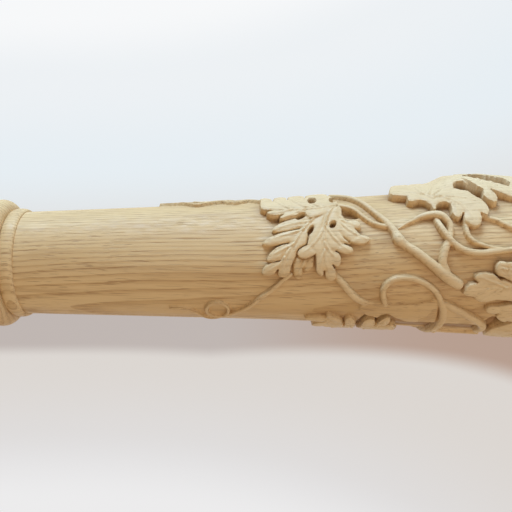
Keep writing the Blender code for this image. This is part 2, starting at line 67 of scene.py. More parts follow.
# The fan of leaves high on the front.
FIRST_LEAVES = (
    dict(rib=((246, 10), (238, -12)),
         edge=((232.5, -2), (233, -6, 237.6, -16.5), (241.4, -6.4, 245.8, -9), (250.5, -3), (251, 8), (236, 8)),
         heights=(3.2, 2.6),
         veins=(((244, 2), (238, -12)),)),
    dict(rib=((269, 48), (257, 45.5), (242, 45), (225, 46.3), (208.5, 51)),
         edge=((243.4, 39.6, 228.4, 34.5), (225.2, 40.4, 213.6, 41), (216.2, 46.2), (209.5, 47.4), (206.8, 50),
               (206.2, 58.6), (206.8, 68, 211, 81), (218, 65.5, 224, 83), (230.5, 67.5, 238, 85),
               (246, 70, 256, 85), (266, 70), (271, 60), (273, 52), (270, 45), (258, 37), (248, 34.5)),
         heights=(7.2, 6.2), lean=-0.085,
         veins=(((250, 46), (241, 51), (236, 58), (233, 68)), ((258, 47), (251, 52.5), (246, 61), (243, 72)),
                ((234, 46), (227, 51), (222, 58), (218, 66)), ((244, 44.6), (236, 41.5), (228, 37)),
                ((232, 45), (223, 43.2), (216, 42)))),
    dict(rib=((269, 47.5), (258.7, 43), (249.3, 34), (241, 25), (236.5, 17.8), (230.6, 9.5), (222, -2),
              (214, -8)),
         edge=((244.5, 39, 216.4, 28), (238.5, 27, 208.6, 16.6), (229.2, 14.8, 212.2, 4), (222, 0),
               (214.8, -1.2), (210.3, -4.2), (208.2, -7.8), (207.4, -10.8), (209, -12.9), (213.5, -13.4),
               (217.8, -12.2), (220.8, -7.6, 225.4, -14.4), (232, -5), (234, 0), (236.5, 5), (242, 8.5),
               (247, 12), (250, 20), (258, 30), (268, 38), (271, 46), (262, 50), (250, 46)),
         heights=(7.3, 4.2), fall=0.03, bulge=0.25,
         veins=(((248, 33), (238, 32), (226, 29.5), (219, 27)), ((242, 26), (230, 22.5), (213, 18)),
                ((234, 14), (226, 10), (216, 5)), ((226, 3), (225.5, -4), (225.5, -10)))),
    dict(rib=((269, 47.5), (262.5, 37), (259.5, 28), (258.8, 20), (259, 10), (260, -2), (262, -9)),
         edge=((244.5, 13, 237.2, 3.4), (251.3, 4.6), (251.6, -5.5, 254.9, -12.6), (258.6, -8.6, 264.2, -17),
               (268.2, -8.5), (265.6, -3.6, 272.4, -1.6), (268.2, 7.4, 281.8, 5.8), (275.4, 13.2, 282.4, 15.4),
               (278, 19.5), (273.5, 28), (271.5, 36), (272.5, 46), (264, 48), (254, 36), (247, 24)),
         heights=(7.8, 5.0), bulge=0.25,
         veins=(((262.5, 37), (259, 27), (254, 18), (248, 11.5), (241.5, 6.5)),
                ((260, 27.5), (266, 18.5), (273, 11.5), (279, 7.5)), ((259, 14), (263, 7), (268, 2)),
                ((259, 8), (256, 0), (255, -7)))),
    dict(rib=((269.5, 47), (269, 38), (271.5, 32.5), (280, 23.5), (293, 16.5)),
         edge=((281, 13.8, 295.4, 14.6), (289, 20.8), (284.6, 25.5, 289.6, 28.8), (283.5, 33), (278.1, 32.8),
               (274.8, 38), (275.4, 44), (273.5, 49), (267, 47), (266.5, 38), (268, 26), (276, 17)),
         heights=(7.0, 4.7),
         veins=(((273, 33), (279, 30.5), (285, 28)),)),
)
FIRST_HOLES = ((248.1, 25, 4.2, 1.9, 62), (266.3, 28.8, 2.4, 3.4, -30), (251.0, 58.5, 3.4, 6.0, 0),
               (268.9, 57.2, 3.0, 5.6, -15), (240.4, 38.4, 4.3, 2.4, 35))
# The large pierced leaves on the photograph's upper rim.
SECOND_LEAVES = (
    dict(rib=((352, 50), (346, 56), (335, 60), (322, 64)),
         edge=((330.2, 55.2), (319.6, 57.8), (316.8, 61.4), (318, 69), (321, 78), (324, 88),
               (330, 92, 337, 104), (342, 95, 350, 109), (356, 99, 367, 112), (386, 104), (392, 90),
               (391.6, 72), (390, 62), (385, 60), (383.4, 57), (385.6, 52.4), (391, 46.2), (394, 40.4),
               (394.8, 36), (393, 32), (390, 31), (387.2, 33.5), (387.6, 29.4), (386.2, 25.4), (383.8, 23.6),
               (380, 22.8), (375.8, 24.6), (372.6, 27.2), (372, 30), (372.8, 34), (371.6, 31.4), (368.4, 29.8),
               (365.2, 31.2), (363.2, 35.1), (363.9, 39), (363.7, 43), (360.4, 45.4), (356, 44.6), (353, 41.8),
               (352.2, 38), (349.3, 38), (348, 42.6), (344.3, 47.3), (340, 49), (334, 47.6), (330.2, 49)),
         heights=(7.0, 7.0), lean=0.01, ramp=(354.0, 374.0, 5.8), top=12.8,
         veins=(((352, 52), (362, 52), (375, 49), (388, 43)), ((358, 52), (368, 46), (376, 36), (380, 28)),
                ((353, 55), (362, 62), (370, 63)), ((364, 48), (367.5, 41), (368, 36)),
                ((344, 56), (341, 66), (341, 76)), ((349, 56), (354, 68), (356, 82)))),
    dict(rib=((366, 84), (378, 84), (400, 74), (425, 62)),
         edge=((378, 80), (380, 70), (385.6, 63.6), (389, 58.2), (393, 54.6), (392.8, 52.7), (391.4, 48),
               (394, 44.2), (399.2, 41.6), (402.8, 42.6), (404.4, 46.4), (403.6, 50.6), (401, 55), (406.8, 52),
               (415, 47.8), (424, 45.6), (431, 54), (438, 82), (430, 96), (404, 106), (384, 104), (379, 96)),
         heights=(17.4, 6.2), lean=0.01, top=12.9,
         veins=(((388, 78), (394, 68), (398, 56), (400, 46)), ((396, 74), (410, 58), (420, 50)))),
)
SECOND_SLOTS = (
    ((371.4, 60.4), (372.4, 64.8), (375.6, 67.2), (381, 67.2), (385.6, 63.2), (389, 57.6), (393.4, 54),
     (391.4, 47), (387.6, 48.6), (385, 52.2), (383, 56.4), (376.6, 57.8)),
    ((383, 74), (386, 78.4), (396, 79), (407, 78.4), (418, 73), (420.6, 65.6), (417.4, 59.6), (407.4, 64),
     (397, 67.6), (388, 71)),
)
# The leaves at the photograph's right edge, which cuts them off.
THIRD_LEAVES = (
    dict(rib=((446, -56), (425, -60), (406, -62)),
         edge=((440, -47), (427, -47.6), (416, -50.6), (408, -56.4), (402.4, -62.6), (400.6, -70),
               (402, -79, 418, -88), (430, -84), (448, -58)),
         heights=(5.6, 4.6)),
    dict(rib=((444, -28), (420, -36), (396, -38)),
         edge=((401, -34, 391, -38.6), (402.5, -42.4, 404.5, -48.5), (412, -49.2), (420, -50, 428, -54),
               (434, -46), (446, -30), (430, -27)),
         heights=(6.6, 4.8),
         veins=(((424, -35), (414, -42), (407, -46)),)),
    dict(rib=((440, -22), (420, -18), (395, -20), (374, -22.5)),
         edge=((399.5, -13.6), (394.4, -10), (388, -8.8), (382.4, -9.2), (379, -11.2), (378.6, -14),
               (381.2, -16.2), (375.5, -17), (372.6, -20), (370, -25), (374, -27.4), (379.2, -27.7),
               (382, -30.4), (386, -31.8), (390.5, -31.4), (398.6, -29.2), (430, -31), (444, -24), (425, -8)),
         heights=(7.4, 5.0),
         veins=(((404, -19), (394, -15.5), (383, -12)), ((400, -20), (392, -25), (385, -30)),
                ((390, -20), (384, -24), (376, -26.5)))),
    dict(rib=((440, -20), (420, -10), (400, -6)),
         edge=((401, -12.6, 394.8, -5), (404, -1.8), (416, -1.4, 428, 5), (438, -6), (446, -22), (420, -20)),
         heights=(7.8, 6.6)),
)
# The leaves seen from their edge on the photograph's lower rim.
SIDE_LEAVES = (
    dict(rib=((293, -104), (275, -90), (266, -70), (262, -58)),
         edge=((262, -57, 243.8, -60), (262, -66, 251, -78), (260, -84, 256, -98), (264, -102, 267, -116),
               (276, -110), (293, -106), (290, -92), (277.6, -67, 269.5, -54)),
         heights=(4.6, 4.4)),
    dict(rib=((293, -104), (288, -85), (283, -58)),
         edge=((279, -68, 282.5, -54.6), (289.5, -70), (291, -95), (280, -92)),
         heights=(4.6, 4.4)),
    dict(rib=((293, -104), (300, -85), (312, -60)),
         edge=((294, -72, 298.6, -55.6), (305.8, -67, 314.2, -51.6), (316, -67, 324, -70), (319, -78, 327, -86),
               (322, -92, 330, -104), (312, -104), (293, -108), (292, -90)),
         heights=(4.4, 4.2)),
)
# The branches of the first leaves, then those on the rest of the front.
FIRST_BRANCHES = (
    (2.5, 5.0, ((269, 78, 1.4, 1.0), (276.9, 72, 1.6, 1.0), (284.2, 66.6, 1.6, 0.95), (290.6, 59.2, 1.6, 0.9),
                (296, 51.4, 1.6, 0.88), (300.6, 44.2, 1.6, 0.86), (306, 37.2, 1.6, 0.86),
                (310.4, 32, 1.6, 0.86), (314, 26.8, 1.6, 0.88), (317, 21.4, 1.6, 0.96), (319.3, 16, 2.0, 1.2),
                (324, 12.1, 1.4, 0.92), (332, 6.8, 1.4, 0.92), (340.9, 0.1, 1.4, 0.92),
                (349.2, -6.5, 1.6, 0.98), (355.2, -11, 1.8, 1.04), (361.4, -15.3, 1.4, 1.0),
                (367.0, -18.6, 0.6, 0.94))),
    (3.8, 2.2, ((357, -9.5), (354, -2), (355.1, 4.5), (357.2, 10.1), (359.8, 15, 1.0, 0.95),
                (361.6, 21, 1.0, 0.9), (361.6, 27.3, 2.0, 0.95), (358.8, 31.3, 3.4, 1.0),
                (355.2, 34.3, 4.2, 1.1), (348.5, 36, 3.6, 1.1), (340.5, 35.4, 2.2, 1.0),
                (332.6, 32.4, 1.2, 0.85), (325.6, 28.9, 0.8, 0.6), (320.8, 26.2, 0.4, 0.3))),
    (2.6, 2.6, ((350.8, 44, 2.5, 0.7), (350.8, 37, 0.8, 0.8), (351.6, 31, 1.6), (353.2, 26, 3.0, 1.05),
                (356.6, 19.4, 3.4, 1.1), (361.5, 13.3, 2.8, 1.1), (368.4, 8.2, 2.0, 1.15),
                (377.3, 5.2, 1.6, 1.2), (386.3, 4.7, 1.6, 1.2), (395.3, 5.6, 1.4, 1.15), (407.7, 6.6),
                (418, 9))),
    (2.4, 2.0, ((374, 30, 1.0), (374.2, 25, 1.8), (374.4, 19.9, 2.0, 1.05), (376.4, 15.6, 1.8),
                (380.6, 12.6, 1.6), (386.8, 10.1), (395.6, 7.8), (402, 7))),
    (2.4, 2.1, ((267, 49, 3.5), (272, 50.4, 3.6), (276.5, 49.6, 3.2), (282.7, 47.7, 2.6), (287.4, 44.2, 2.0),
                (291.9, 38.8), (296, 34.5), (299.9, 31.4), (305.1, 29.3), (312, 27.5))),
)
FRONT_BRANCHES = (
    (2.2, 2.2, ((385, 34), (390.9, 32.1), (395.3, 30.9), (400.4, 29), (405.2, 25.9), (410, 23.6), (422, 16),
                (436, 2), (446, -20))),
    (2.7, 2.9, ((310, -38), (307.6, -30), (307.6, -23.5), (311.5, -17.8), (316.8, -15), (323.2, -14.2),
                (330.6, -14.6), (337.1, -16.7), (343.8, -20), (349.3, -24.5), (353.3, -30.2), (355.4, -36))),
    (3.6, 3.4, ((355.6, -35, 1.0), (357.6, -39.5), (358.8, -45), (359.6, -53), (358.7, -63), (356.5, -74),
                (352, -100))),
    (3.3, 3.2, ((266.5, -11.5, -1.2), (269.5, -14.6, 0.4), (273.2, -18.4), (280.2, -27.1), (286.5, -33.4),
                (292.5, -37, 0.6), (299, -38.6, -0.6), (306, -39, -1.8))),
    (3.4, 4.0, ((349, -33, -1.4), (356, -34.5, 0.2), (362, -37, 1.4), (368, -40), (376, -44.5), (384, -49.5),
                (390, -54), (394.5, -58.5), (396, -64, 1.0), (394.5, -72, 0.2))),
    (2.4, 2.0, ((292, -104), (275, -120), (262, -140))),
    (2.6, 2.6, ((358, -78), (370, -86), (384, -88), (399, -86))),
)
# Thin shoots that curl towards the collar.
TENDRILS = (
    (2.3, 1.6, ((231, -12), (225, -17), (215, -27), (206, -35), (200, -42), (192, -50), (185, -55), (180, -59),
                (174, -63), (168, -63.5), (161.5, -58), (160.5, -50), (165, -42.5), (172, -41), (178, -46),
                (178.5, -56), (174, -63), (162, -69), (156, -63), (151, -57), (145, -52.6), (137.5, -49.5),
                (130, -50))),
    (1.8, 1.4, ((207, 73), (200, 80), (190, 90), (180, 90), (176, 80), (184, 73), (194, 82), (184, 93),
                (166, 88), (150, 84), (127, 86))),
)
# Guessed: the photograph doesn't show the lower shaft.
LOWER_BRANCHES = (
    (2.4, 3.4, ((411, 8), (432, 12), (460, 20), (490, 22), (520, 12), (560, -6), (600, -14), (636, -12))),
    (2.2, 1.2, ((470, 21), (486, 38), (502, 46), (512, 40), (508, 32))),
)
# Ground left standing between branches, and the upper edge of the ground cut away below them.
PLATEAUS = (
    (((292, -36), (297, -35.5), (311, -35.5), (317, -37), (335, -35.2), (344, -32.8), (354.5, -33),
      (355.5, -44), (356.5, -55), (357.2, -66), (342, -68), (330, -68), (324, -64), (320, -60), (314, -56),
      (305, -57), (299, -56), (293, -52), (288, -46), (288, -40)), 2.8, 2.6),
    (((358, -35), (366.4, -37.5), (374.7, -41.7), (383.4, -46.8), (390.2, -51.2), (396, -56), (397, -60),
      (388.6, -58.7), (371.6, -63), (358, -63)), 3.4, 1.8),
)
HOLLOW_EDGE = ((288, -76), (291, -66), (294, -57), (298.2, -52.2), (302, -53.5), (305.1, -55), (308.3, -50.9),
               (314, -49.1), (318.9, -52.6), (324.6, -56), (330, -58.6), (343, -58.4), (354, -58), (358, -57.6),
               (361, -57.4), (371, -57), (383, -57), (390, -57.6), (396, -55), (400, -49.8), (406, -50),
               (414, -54), (420, -60), (424, -80))
PITS = ((283, 42.5, 8.5, 5.0, -12, 3.2),)
HOLLOW_DEPTH, HOLLOW_WIDTH = 6.0, 26.0

FIRST = dict(leaves=FIRST_LEAVES, holes=FIRST_HOLES, branches=FIRST_BRANCHES)
SECOND = dict(leaves=SECOND_LEAVES, slots=SECOND_SLOTS)
THIRD = dict(leaves=THIRD_LEAVES)
SIDE = dict(leaves=SIDE_LEAVES)
FRONT = dict(branches=FRONT_BRANCHES + TENDRILS + LOWER_BRANCHES)
BACK = dict(branches=TENDRILS[:1])
LOWER = dict(branches=LOWER_BRANCHES)
LEAVES_ALONE = dict(leaves=FIRST_LEAVES, holes=FIRST_HOLES)
# Groups, how far down the shaft and round it they are moved, and if they are head down.
REPEATS = (
    ((THIRD,), -12, 140, False),
    ((FIRST, SECOND, THIRD, SIDE, FRONT), 0, 0, False),
    ((FIRST, SECOND, BACK), -12, 140, False),
    ((LEAVES_ALONE,), 746, -18, True),
    ((LEAVES_ALONE,), 752, 150, True),
    ((LEAVES_ALONE,), 770, -125, True),
    ((LOWER,), 0, 172, False),
    ((LOWER,), 0, -112, False),
)

# ---------------------------------------------------------------- lines and outlines

RIB_STEP, BRANCH_STEP = 3.0, 2.5
FAR_AWAY = 1e3
TINY, FLAT = 1e-6, 1e-9
SWEEP_POINTS = 8

LOBE_OVERLAP = 2.5  # how far a lobe reaches back into its leaf
LOBE_BLUNTNESS = 0.85
LOBE_POINTS = 11
LOBE_BULGE = 0.22


def hermite(x, knots):
    """Smooth curve through (place, value) knots."""
    places = np.array([k[0] for k in knots], float)
    values = np.array([k[1] for k in knots], float)
    slopes = np.gradient(values, places)
    x = np.clip(x, places[0], places[-1])
    i = np.clip(np.searchsorted(places, x, side="right") - 1, 0, len(places) - 2)
    span = places[i + 1] - places[i]
    t = (x - places[i]) / span
    return (values[i] * (2 * t**3 - 3 * t**2 + 1) + slopes[i] * span * (t**3 - 2 * t**2 + t)
            + values[i + 1] * (3 * t**2 - 2 * t**3) + slopes[i + 1] * span * (t**3 - t**2))


def shaft_radius(s):
    return hermite(np.asarray(s, float), TAPER)


def rise(x):
    """0 below 0, 1 above 1, smooth between."""
    x = np.clip(x, 0, 1)
    return x * x * (3 - 2 * x)


def smooth_way(points, step):
    """Polyline on a smooth curve through the points, which may carry further values."""
    points = np.array(points, float)
    gaps = np.linalg.norm(np.diff(points[:, :2], axis=0), axis=1)
    places = np.concatenate(([0.0], np.cumsum(gaps)))
    fine = np.linspace(0, places[-1], max(3, int(places[-1] / step) + 1))
    return np.stack([hermite(fine, list(zip(places, column))) for column in points.T], axis=1)


def nearest(x, y, a, b):
    """Share of the way from a to b at the place nearest to (x, y), and the distance to it."""
    way = b - a
    t = np.clip(((x - a[0]) * way[0] + (y - a[1]) * way[1]) / max(float(way @ way), FLAT), 0, 1)
    return t, np.hypot(x - a[0] - t * way[0], y - a[1] - t * way[1])


def along_way(x, y, line):
    """Distance to a polyline, and share of the way at the nearest place."""
    best = np.full(x.shape, FAR_AWAY)
    share = np.zeros(x.shape)
    n = len(line) - 1
    for i in range(n):
        t, away = nearest(x, y, line[i], line[i + 1])
        closer = away < best
        best = np.where(closer, away, best)
        share = np.where(closer, (i + t) / n, share)
    return best, share


def polygon_distance(x, y, corners):
    """Distance to a closed outline, negative inside."""
    best = np.full(x.shape, FAR_AWAY)
    turns = np.zeros(x.shape, int)
    for a, b in zip(corners, np.roll(corners, -1, axis=0)):
        _, away = nearest(x, y, a, b)
        best = np.minimum(best, away)
        dy = b[1] - a[1]
        if abs(dy) > FLAT:
            crosses = ((a[1] > y) != (b[1] > y)) & (x < a[0] + (y - a[1]) * (b[0] - a[0]) / dy)
            turns += np.where(crosses, int(np.sign(dy)), 0)
    return np.where(turns != 0, -best, best)


def oval_distance(x, y, centre, half_s, half_y, tilt):
    """Distance to an oval's centre, 1 on its edge."""
    c, n = math.cos(math.radians(tilt)), math.sin(math.radians(tilt))
    u, v = (x - centre[0]) * c + (y - centre[1]) * n, (y - centre[1]) * c - (x - centre[0]) * n
    return np.hypot(u / half_s, v / half_y)


def swept(rib, share, length, end, sweep):
    """Curve from the rib to a place beside it, leaving the rib further back the more it lies aside."""
    first, last, look_ahead, bow = 0.04, 0.93, 0.08, 0.42
    near = int(np.argmin(np.linalg.norm(rib - end, axis=1)))
    aside = np.linalg.norm(rib[near] - end)
    at = min(max(share[near] * length - sweep * aside, first * length), last * length) / length
    root = np.array([np.interp(at, share, rib[:, k]) for k in (0, 1)])
    ahead = np.array([np.interp(min(at + look_ahead, 1), share, rib[:, k]) for k in (0, 1)]) - root
    ahead = ahead / max(np.linalg.norm(ahead), TINY)
    reach = max(np.linalg.norm(end - root), TINY)
    bend = root + bow * reach * (0.5 * ahead + 0.5 * (end - root) / reach)
    t = np.linspace(0, 1, SWEEP_POINTS)[:, None]
    return (1 - t) ** 2 * root + 2 * t * (1 - t) * bend + t**2 * end


def lobe_outline(a, b, out, bulge):
    """Blunt lobe between two corners of a leaf; out leads from their middle to its tip."""
    middle, half = (a + b) / 2, (b - a) / 2
    inward = -LOBE_OVERLAP * out / np.linalg.norm(out)
    arc = [middle + out * np.sin(t) ** LOBE_BLUNTNESS - half * np.cos(t) * (1 + bulge * np.sin(t))
           for t in np.linspace(0, np.pi, LOBE_POINTS)]
    return np.array([a + inward] + arc + [b + inward])


# ---------------------------------------------------------------- the relief

LEAF_HEIGHT = 6.8  # usual height of a leaf; leaves are drawn at this height over the ground
BRANCH_PLANE = 3.0  # branches are drawn at this height
BRANCH_MIDDLE = 1.4  # height of a branch's middle over the ground

LEAF_DOME, DOME_WIDTH, DOME_SINK = 0.7, 4.5, 0.6  # a leaf's face bends down over this width along its edge
LEAF_WALL = 0.8
MOAT_SHARE, MOAT_WIDTH, MOAT_START, MOAT_FADE = 0.5, 0.9, 24.0, 12.0  # groove in what lies under a leaf's outer part
NO_RAMP, HIGHEST = (0.0, 1.0, 0.0), 20.0
RAMP_EDGE, RAMP_WIDTH = -5.0, 30.0
VALLEY_DEPTH, VALLEY_WIDTH, VALLEY_SWEEP = 0.5, 1.5, 0.35  # between two lobes
RIDGE_HEIGHT, RIDGE_WIDTH, RIDGE_FADE = 0.75, 0.8, 0.7  # along midribs and veins
GROOVE_DEPTH, GROOVE_WIDTH, GROOVE_PLACE = 0.55, 0.8, 1.7  # on both sides of a ridge
MIDRIB_STRENGTH, VEIN_STRENGTH = 1.0, 0.85
LOBE_RIDGE_STRENGTH, LOBE_RIDGE_REACH, LOBE_RIDGE_SWEEP, LOBE_RIDGE_FROM = 0.7, 0.6, 0.55, 4
OPENING_ROUND, OPENING_WALL = 0.5, 0.9
HOLLOW_WALL, HOLLOW_END, HOLLOW_DEEP, HOLLOW_SLOPE, HOLLOW_EASE = 0.8, 4.0, 5.0, 10.0, 0.7
BRANCH_WALL, BRANCH_FOOT, BRANCH_BLEND = 0.7, 0.1, 0.7
PIT_WALL = 2.0


class Relief:
    """Heights over the shaft's taper, a row for each s and a column for each angle."""

    def __init__(self, length):
        rows = int(round(length / FINE_STEP)) + 1
        self.s = np.linspace(0, length, rows)
        self.a = np.arange(COLUMNS) * 360.0 / COLUMNS
        self.r = shaft_radius(self.s)
        self.h = np.zeros((rows, COLUMNS))
        self.ground = np.zeros((rows, COLUMNS))
        # where the oak gets painted shade, set in the hollow below the branches
        self.shade = np.zeros((rows, COLUMNS))

    def flat(self, place, middle, lift):
        """(s, angle) on the flat drawing, unrolled at a height, with the middle angle at 0."""
        return np.array((place[0], math.radians(place[1] - middle) * (float(shaft_radius(place[0])) + lift)))

    def window(self, points, middle, lift, margin):
        """Cells round the points, and their places on the flat drawing."""
        low = np.min(points, axis=0) - margin
        high = np.max(points, axis=0) + margin
        rows = np.flatnonzero((self.s >= low[0]) & (self.s <= high[0]))
        turn = np.radians((self.a - middle + 180) % 360 - 180)
        reach = float(np.min(self.r[rows])) + lift
        columns = np.flatnonzero((turn * reach <= high[1]) & (turn * reach >= low[1]))
        y = turn[columns][None, :] * (self.r[rows][:, None] + lift)
        x = np.repeat(self.s[rows][:, None], len(columns), axis=1)
        return np.ix_(rows, columns), x, y

    def leaf(self, rib, edge, heights, veins=(), bulge=LOBE_BULGE, lean=0.0, fall=0.0, ramp=NO_RAMP, top=HIGHEST):
        """Leaf that may lean, fall off beside its rib, climb a ramp (from s, to s, height) or end at a top."""
        middle = (rib[0][1] + rib[-1][1]) / 2
        rib = smooth_way([self.flat(p, middle, LEAF_HEIGHT) for p in rib], RIB_STEP)
        steps = np.linalg.norm(np.diff(rib, axis=0), axis=1)
        length = steps.sum()
        share = np.concatenate(([0.0], np.cumsum(steps))) / length
        corners = [self.flat(entry[:2], middle, LEAF_HEIGHT) for entry in edge]
        tips = [self.flat(entry[2:], middle, LEAF_HEIGHT) if len(entry) > 2 else None for entry in edge]
        shapes, ridges, valleys = [np.array(corners)], [(rib, MIDRIB_STRENGTH)], []
        for i, tip in enumerate(tips):
            if tip is None:
                continue
            a, b = corners[i], corners[(i + 1) % len(corners)]
            if tips[i - 1] is not None:
                valleys.append(swept(rib, share, length, a, VALLEY_SWEEP)[::-1])
            out = tip - (a + b) / 2
            shapes.append(lobe_outline(a, b, out, bulge))
            if not veins and np.linalg.norm(out) > LOBE_RIDGE_FROM:
                end = (a + b) / 2 + LOBE_RIDGE_REACH * out
                ridges.append((swept(rib, share, length, end, LOBE_RIDGE_SWEEP), LOBE_RIDGE_STRENGTH))
        for vein in veins:
            line = smooth_way([self.flat(p, middle, LEAF_HEIGHT) for p in vein], RIB_STEP)
            ridges.append((line, VEIN_STRENGTH))

        cells, x, y = self.window(np.concatenate(shapes), middle, LEAF_HEIGHT, margin=3.0)
        gap = np.min([polygon_distance(x, y, shape) for shape in shapes], axis=0)
        ground = self.ground[cells]
        far = rise((np.hypot(x - rib[0, 0], y - rib[0, 1]) - MOAT_START) / MOAT_FADE)
        moat = 1 - MOAT_SHARE * far * np.exp(-((np.maximum(gap, 0) / MOAT_WIDTH) ** 2))
        under = ground + (self.h[cells] - ground) * moat
        depth = np.maximum(-gap, 0)
        aside, along = along_way(x, y, rib)
        level = heights[0] + (heights[1] - heights[0]) * along + LEAF_DOME * (rise(depth / DOME_WIDTH) - DOME_SINK)
        level = level + lean * y - fall * aside
        level = level + ramp[2] * rise((x - ramp[0]) / (ramp[1] - ramp[0])) * rise((y - RAMP_EDGE) / RAMP_WIDTH)
        level = np.minimum(level, top)
        for line in valleys:
            off, along = along_way(x, y, line)
            level = level - VALLEY_DEPTH * (1 - rise(along)) * np.exp(-((off / VALLEY_WIDTH) ** 2))
        for line, strength in ridges:
            off, along = along_way(x, y, line)
            strength = strength * (1 - RIDGE_FADE * along)
            level = level + strength * (RIDGE_HEIGHT * np.exp(-((off / RIDGE_WIDTH) ** 2))
                                        - GROOVE_DEPTH * np.exp(-(((off - GROOVE_PLACE) / GROOVE_WIDTH) ** 2)))
        self.h[cells] = np.maximum(under, ground + (level - ground) * rise(depth / LEAF_WALL))

    def opened(self, cells, gap):
        """Takes away what is carved over the ground where the gap is negative."""
        ground = self.ground[cells]
        self.h[cells] = ground + (self.h[cells] - ground) * rise((gap + OPENING_ROUND) / OPENING_WALL)

    def hole(self, s, angle, half_s, half_y, tilt):
        """Oval opening down to the ground."""
        centre = self.flat((s, angle), angle, LEAF_HEIGHT)
        cells, x, y = self.window(np.array([centre]), angle, LEAF_HEIGHT, margin=8.0)
        self.opened(cells, (oval_distance(x, y, centre, half_s, half_y, tilt) - 1) * min(half_s, half_y))

    def slot(self, edge):
        """Opening of any outline down to the ground."""
        middle = sum(p[1] for p in edge) / len(edge)
        corners = np.array([self.flat(p, middle, LEAF_HEIGHT) for p in edge])
        cells, x, y = self.window(corners, middle, LEAF_HEIGHT, margin=2.0)
        self.opened(cells, polygon_distance(x, y, corners))

    def hollow(self, edge, depth, width):
        """Ground cut away below an edge, deepest close to it."""
        low, high = edge[0][0], edge[-1][0]
        rows = np.flatnonzero((self.s >= low) & (self.s <= high))
        upper = hermite(self.s[rows], edge)
        turn = (self.a[None, :] - upper[:, None] + 180) % 360 - 180
        out = -turn * np.radians(self.r[rows])[:, None]
        ends = np.minimum(self.s[rows] - low, high - self.s[rows])[:, None]
        inside = rise(out / HOLLOW_WALL) * rise((width - out) / HOLLOW_END) * rise(ends / HOLLOW_END)
        cut = inside * (1 - HOLLOW_EASE * rise((out - HOLLOW_DEEP) / HOLLOW_SLOPE))
        # painted shade: marks the hollow so that the oak is darkened there
        self.shade[rows] = inside
        self.ground[rows] = self.ground[rows] * (1 - cut) - depth * cut
        self.h[rows] = self.ground[rows]

    def branch(self, first, last, way):
        """Round branch, melted a little into what it crosses."""
        middle = sum(p[1] for p in way) / len(way)
        usual = (BRANCH_MIDDLE, 1.0)
        line = [(*self.flat(p, middle, BRANCH_PLANE), *(p[2:] + usual[len(p) - 2:])) for p in way]
        line = smooth_way(line, BRANCH_STEP)
        radii = np.linspace(first, last, len(line)) * line[:, 3]
        cells, x, y = self.window(line[:, :2], middle, BRANCH_PLANE, margin=8.0)
        ground = self.ground[cells]
        height = np.full(x.shape, -FAR_AWAY)
        gap = np.full(x.shape, FAR_AWAY)
        for i in range(len(line) - 1):
            t, away = nearest(x, y, line[i, :2], line[i + 1, :2])
            radius = radii[i] + t * (radii[i + 1] - radii[i])
            lift = line[i, 2] + t * (line[i + 1, 2] - line[i, 2])
            crown = lift + np.sqrt(np.maximum(radius**2 - away**2, 0))
            side = rise((radius - away) / BRANCH_WALL + BRANCH_FOOT)
            height = np.maximum(height, ground + (crown - ground) * side)
            gap = np.minimum(gap, away - radius)
        old = self.h[cells]
        near = np.maximum(BRANCH_BLEND - np.abs(old - height), 0) * rise((BRANCH_BLEND - gap) / BRANCH_BLEND)
        self.h[cells] = np.maximum(old, height) + near**2 / (4 * BRANCH_BLEND) * (old > ground)

    def plateau(self, edge, height, slope):
        """Ground left standing inside an outline."""
        middle = sum(p[1] for p in edge) / len(edge)
        corners = np.array([self.flat(p, middle, 0) for p in edge])
        cells, x, y = self.window(corners, middle, 0, margin=2.0)
        gap = polygon_distance(x, y, corners)
        self.ground[cells] = np.maximum(self.ground[cells], height * rise(-gap / slope))
        self.h[cells] = self.ground[cells]

    def pit(self, s, angle, half_s, half_y, tilt, depth):
        """Oval dip in the ground."""
        centre = self.flat((s, angle), angle, 0)
        cells, x, y = self.window(np.array([centre]), angle, 0, margin=max(half_s, half_y) + 3)
        inside = 1 - oval_distance(x, y, centre, half_s, half_y, tilt)
        self.ground[cells] = self.ground[cells] - depth * rise(inside * min(half_s, half_y) / PIT_WALL)
        self.h[cells] = self.ground[cells]


def moved(points, down, turn, flipped):
    """Points carried down the shaft and round it, head down if flipped."""
    return tuple((down - p[0] if flipped else down + p[0], p[1] + turn, *p[2:]) for p in points)


def moved_leaf(leaf, *move):
    """A leaf's drawing carried along: its midrib, the corners and lobe tips of its edge, and its veins."""
    edge = [sum(moved([entry[k:k + 2] for k in range(0, len(entry), 2)], *move), ()) for entry in leaf["edge"]]
    veins = [moved(vein, *move) for vein in leaf.get("veins", ())]
    return {**leaf, "rib": moved(leaf["rib"], *move), "edge": edge, "veins": veins}


def carve():
    """The whole relief."""
    relief = Relief(SHAFT_TOP - SHAFT_BOTTOM)
    for edge, height, slope in PLATEAUS:
        relief.plateau(edge, height, slope)
    relief.hollow(HOLLOW_EDGE, HOLLOW_DEPTH, HOLLOW_WIDTH)
    for pit in PITS:
        relief.pit(*pit)
    for groups, *move in REPEATS:
        for group in groups:
            for leaf in group.get("leaves", ()):
                relief.leaf(**moved_leaf(leaf, *move))
            for s, angle, half_s, half_y, tilt in moved(group.get("holes", ()), *move):
                relief.hole(s, angle, half_s, half_y, -tilt if move[-1] else tilt)
            for slot in group.get("slots", ()):
                relief.slot(moved(slot, *move))
        for group in groups:
            for first, last, way in group.get("branches", ()):
                relief.branch(first, last, moved(way, *move))
    return relief


# ---------------------------------------------------------------- the post as one surface

def torus(z, height, root, radius, steps=18):
    turn = np.linspace(0, math.pi, steps + 1)
    return [(root + (radius - root) * math.sin(t), z + height * (1 - math.cos(t)) / 2) for t in turn]


def cove(z, height, lower, upper, steps=14):
    turn = np.linspace(0, math.pi / 2, steps + 1)
    if lower > upper:
        return [(lower - (lower - upper) * math.sin(t), z + height * (1 - math.cos(t))) for t in turn]
    return [(upper - (upper - lower) * math.cos(t), z + height * math.sin(t)) for t in turn]


